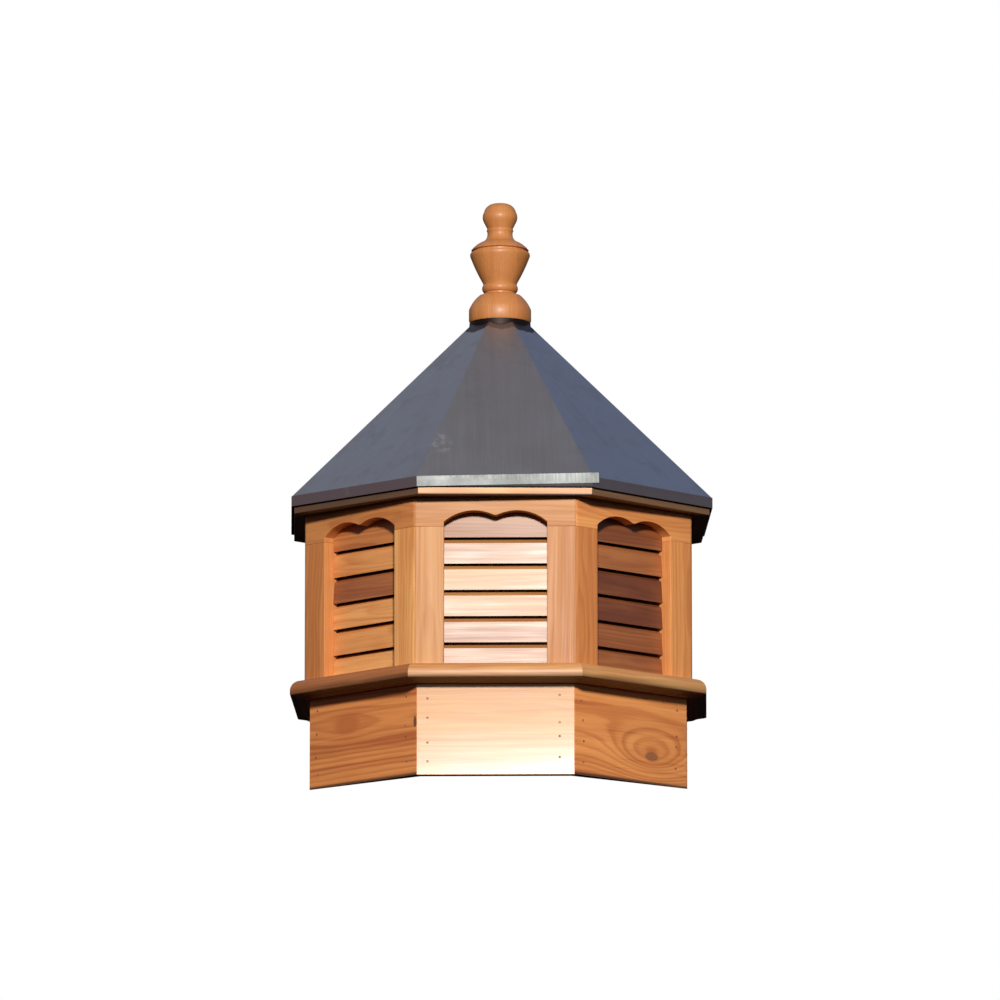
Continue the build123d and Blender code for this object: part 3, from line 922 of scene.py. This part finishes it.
class CUPOLA_OT_nails(bpy.types.Operator):
    """Drive the nails through the ends of the skirt boards"""

    bl_idname = "cupola.nails"
    bl_label = "Nails"

    def execute(self, context):
        metal = context.scene.cupola_metal
        rng = random.Random(91)
        bpy.ops.object.select_all(action="DESELECT")
        bpy.ops.mesh.primitive_cylinder_add(vertices=14, radius=metal.head, depth=NAIL_HEAD_DEPTH)
        master = bpy.context.object
        edit(master)
        bpy.ops.mesh.bevel(offset=NAIL_HEAD_EDGE, segments=2)
        bpy.ops.mesh.select_all(action="DESELECT")
        shape = bmesh.from_edit_mesh(master.data)
        for face in shape.faces:
            face.select_set(face.normal.z > 0.99)
        bmesh.update_edit_mesh(master.data)
        bpy.ops.mesh.inset(thickness=metal.head * 0.35)
        bpy.ops.transform.translate(value=(0, 0, -NAIL_DISH))
        bpy.ops.object.mode_set(mode="OBJECT")
        bpy.ops.object.shade_smooth_by_angle(angle=math.radians(40))
        across, up = NAIL_STRAY
        stand = Matrix.Rotation(math.radians(90), 4, "X")
        places = []
        for k in range(len(FACES)):
            turn = Matrix.Rotation(SIDE * k, 4, "Z")
            for x, heights in NAIL_COLUMNS:
                for z in heights:
                    spot = Vector((x, NAIL_SINK - SKIRT_FACE, z))
                    if k:
                        spot += Vector((rng.uniform(-across, across), 0, rng.uniform(-up, up)))
                    places.append(turn @ Matrix.Translation(spot) @ stand)
        nails = repeat(master, "nails_skirt", places)
        own(nails, nail_metal("nail_metal", tuple(metal.nail)), "roof_metal")
        return {"FINISHED"}


# ---------------------------------------------------------------- studio
FLOOR_GREY = (0.82, 0.82, 0.82)
FLOOR_SIZE = 9
PAD_MARGIN = 0.003
PAD_GAP = 0.0006
FILM_WIDTH = 36


def studio_world(world):
    """A dim room, warm at its walls and cool above them, that the camera sees as plain white."""
    world.use_nodes = True
    tree = world.node_tree
    tree.nodes.clear()
    new, link = tree.nodes.new, tree.links.new

    def ramp(source, low, high):
        made = new("ShaderNodeMapRange")
        made.interpolation_type = "SMOOTHSTEP"
        link(source, made.inputs["Value"])
        made.inputs["From Min"].default_value = low
        made.inputs["From Max"].default_value = high
        return made.outputs[0]

    def blend(share, a, b):
        made = new("ShaderNodeMix")
        made.data_type = "RGBA"
        link(share, made.inputs[0])
        for socket, value in ((made.inputs[6], a), (made.inputs[7], b)):
            if isinstance(value, tuple):
                socket.default_value = (*value, 1)
            else:
                link(value, socket)
        return made.outputs[2]

    split = new("ShaderNodeSeparateXYZ")
    link(new("ShaderNodeTexCoord").outputs["Generated"], split.inputs[0])
    x, y, z = split.outputs
    # Walls and the blue above them, each from left to right, then overhead, in front and below.
    walls = blend(ramp(x, -0.6, 0.6), (0.24, 0.19, 0.17), (0.19, 0.20, 0.19))
    high = blend(ramp(x, -0.5, 0.5), (0.28, 0.305, 0.375), (0.19, 0.235, 0.365))
    colour = blend(ramp(z, 0.15, 0.5), walls, high)
    colour = blend(ramp(z, 0.86, 0.97), colour, (0.27, 0.255, 0.265))
    colour = blend(ramp(y, -0.3, -0.95), colour, (0.45, 0.43, 0.42))
    colour = blend(ramp(z, 0.08, -0.04), colour, (0.012, 0.009, 0.008))
    dim = new("ShaderNodeBackground")
    link(colour, dim.inputs["Color"])
    path = new("ShaderNodeLightPath")
    # The room lights matt surfaces less than it shows in shiny ones, so the shadows stay deep.
    strength = new("ShaderNodeMath")
    strength.operation = "MULTIPLY_ADD"
    link(path.outputs["Is Diffuse Ray"], strength.inputs[0])
    strength.inputs[1].default_value = -0.45
    strength.inputs[2].default_value = 1.0
    link(strength.outputs[0], dim.inputs["Strength"])
    white = new("ShaderNodeBackground")
    white.inputs["Color"].default_value = (1, 1, 1, 1)
    choose = new("ShaderNodeMixShader")
    link(path.outputs["Is Camera Ray"], choose.inputs[0])
    link(dim.outputs[0], choose.inputs[1])
    link(white.outputs[0], choose.inputs[2])
    link(choose.outputs[0], new("ShaderNodeOutputWorld").inputs["Surface"])


def one_sided(name, above, below):
    """A surface that is matt from above, and from below is clear or glows in its own colour."""
    material = bpy.data.materials.new(name)
    material.use_nodes = True
    tree = material.node_tree
    tree.nodes.clear()
    output = tree.nodes.new("ShaderNodeOutputMaterial")
    top = tree.nodes.new("ShaderNodeBsdfDiffuse")
    top.inputs["Color"].default_value = (*above, 1)
    under = tree.nodes.new("ShaderNodeBsdfTransparent" if below is None else "ShaderNodeEmission")
    if below is not None:
        under.inputs["Color"].default_value = (*below, 1)
    side = tree.nodes.new("ShaderNodeNewGeometry").outputs["Backfacing"]
    choose = tree.nodes.new("ShaderNodeMixShader")
    tree.links.new(side, choose.inputs[0])
    tree.links.new(top.outputs[0], choose.inputs[1])
    tree.links.new(under.outputs[0], choose.inputs[2])
    tree.links.new(choose.outputs[0], output.inputs["Surface"])
    return material


def towards(bearing, rise):
    """Direction from the axis to a bearing, round to the right of the front face, and a rise above level."""
    return Vector((math.sin(bearing) * math.cos(rise), -math.cos(bearing) * math.cos(rise), math.sin(rise)))


class CUPOLA_OT_studio(bpy.types.Operator):
    """Lay the floor and the pad, and set the room, the key light and the camera"""

    bl_idname = "cupola.studio"
    bl_label = "Studio"

    def execute(self, context):
        studio = context.scene.cupola_studio
        scene = context.scene
        bpy.ops.object.select_all(action="DESELECT")
        bpy.ops.mesh.primitive_plane_add(size=FLOOR_SIZE)
        floor = context.object
        floor.name = "floor"
        floor.data.materials.append(one_sided("pale_floor", FLOOR_GREY, None))
        floor.visible_diffuse = False
        floor.visible_glossy = False
        # A pad under the skirt closes the open base when the cupola is seen from below. Its front side is
        # drawn in behind the front skirt board.
        pad_reach = (SKIRT_FACE + PAD_MARGIN) / math.cos(HALF)
        bpy.ops.mesh.primitive_circle_add(vertices=len(FACES), radius=pad_reach, fill_type="NGON",
                                          location=(0, 0, -PAD_GAP), rotation=(0, 0, HALF))
        pad = context.object
        pad.name = "curb_pad"
        bpy.ops.object.transform_apply()
        for vert in pad.data.vertices:
            if vert.co.y < -0.9 * SKIRT_FACE:
                vert.co.x *= SKIRT_INSIDE / SKIRT_FACE
                vert.co.y = -SKIRT_INSIDE
        pad.data.materials.append(one_sided("curb_pad", FLOOR_GREY, (1, 1, 1)))
        pad.visible_diffuse = False
        pad.visible_glossy = False

        scene.world = scene.world or bpy.data.worlds.new("studio")
        studio_world(scene.world)
        scene.view_settings.view_transform = "Standard"
        way = towards(studio.key_bearing, studio.key_rise)
        aim = Vector((0, 0, studio.key_aim))
        bpy.ops.object.light_add(type="AREA", location=aim + way * studio.key_distance)
        key = context.object
        key.rotation_euler = way.to_track_quat("Z", "Y").to_euler()
        key.data.size = studio.key_size
        # A lamp's watts are its radiance times pi times its area.
        key.data.energy = studio.key_strength * math.pi * studio.key_size ** 2
        key.data.color = studio.key_colour
        key.visible_camera = False

        way = towards(studio.bearing, studio.rise)
        aim = Vector((0, 0, studio.aim))
        bpy.ops.object.camera_add(location=aim + way * studio.distance)
        camera = context.object
        camera.rotation_euler = way.to_track_quat("Z", "Y").to_euler()
        camera.data.lens = studio.lens
        camera.data.sensor_width = FILM_WIDTH
        camera.data.clip_end = 200
        scene.camera = camera
        return {"FINISHED"}


class CUPOLA_PT_panel(bpy.types.Panel):
    """Buttons for the cupola's pieces"""

    bl_idname = "CUPOLA_PT_panel"
    bl_label = "Cupola"
    bl_space_type = "VIEW_3D"
    bl_region_type = "UI"
    bl_category = "Cupola"

    def draw(self, context):
        for operator in OPERATORS:
            self.layout.operator(operator.bl_idname)
        for settings in (context.scene.cupola_cedar, context.scene.cupola_metal, context.scene.cupola_studio):
            box = self.layout.box()
            for name in settings.bl_rna.properties.keys():
                if name not in ("rna_type", "name"):
                    box.prop(settings, name)


SETTINGS = {"cupola_cedar": CedarSettings, "cupola_metal": MetalSettings, "cupola_studio": StudioSettings}
OPERATORS = (CUPOLA_OT_skirt, CUPOLA_OT_body, CUPOLA_OT_louvres, CUPOLA_OT_ledge, CUPOLA_OT_eave,
             CUPOLA_OT_roof, CUPOLA_OT_finial, CUPOLA_OT_nails, CUPOLA_OT_studio)


def register():
    for kind in (*SETTINGS.values(), *OPERATORS, CUPOLA_PT_panel):
        bpy.utils.register_class(kind)
    for name, kind in SETTINGS.items():
        setattr(bpy.types.Scene, name, PointerProperty(type=kind))


def unregister():
    for name in SETTINGS:
        delattr(bpy.types.Scene, name)
    for kind in (CUPOLA_PT_panel, *OPERATORS, *SETTINGS.values()):
        bpy.utils.unregister_class(kind)


def main():
    register()
    for operator in OPERATORS:
        group, name = operator.bl_idname.split(".")
        getattr(getattr(bpy.ops, group), name)()


if __name__ == "__main__":
    main()
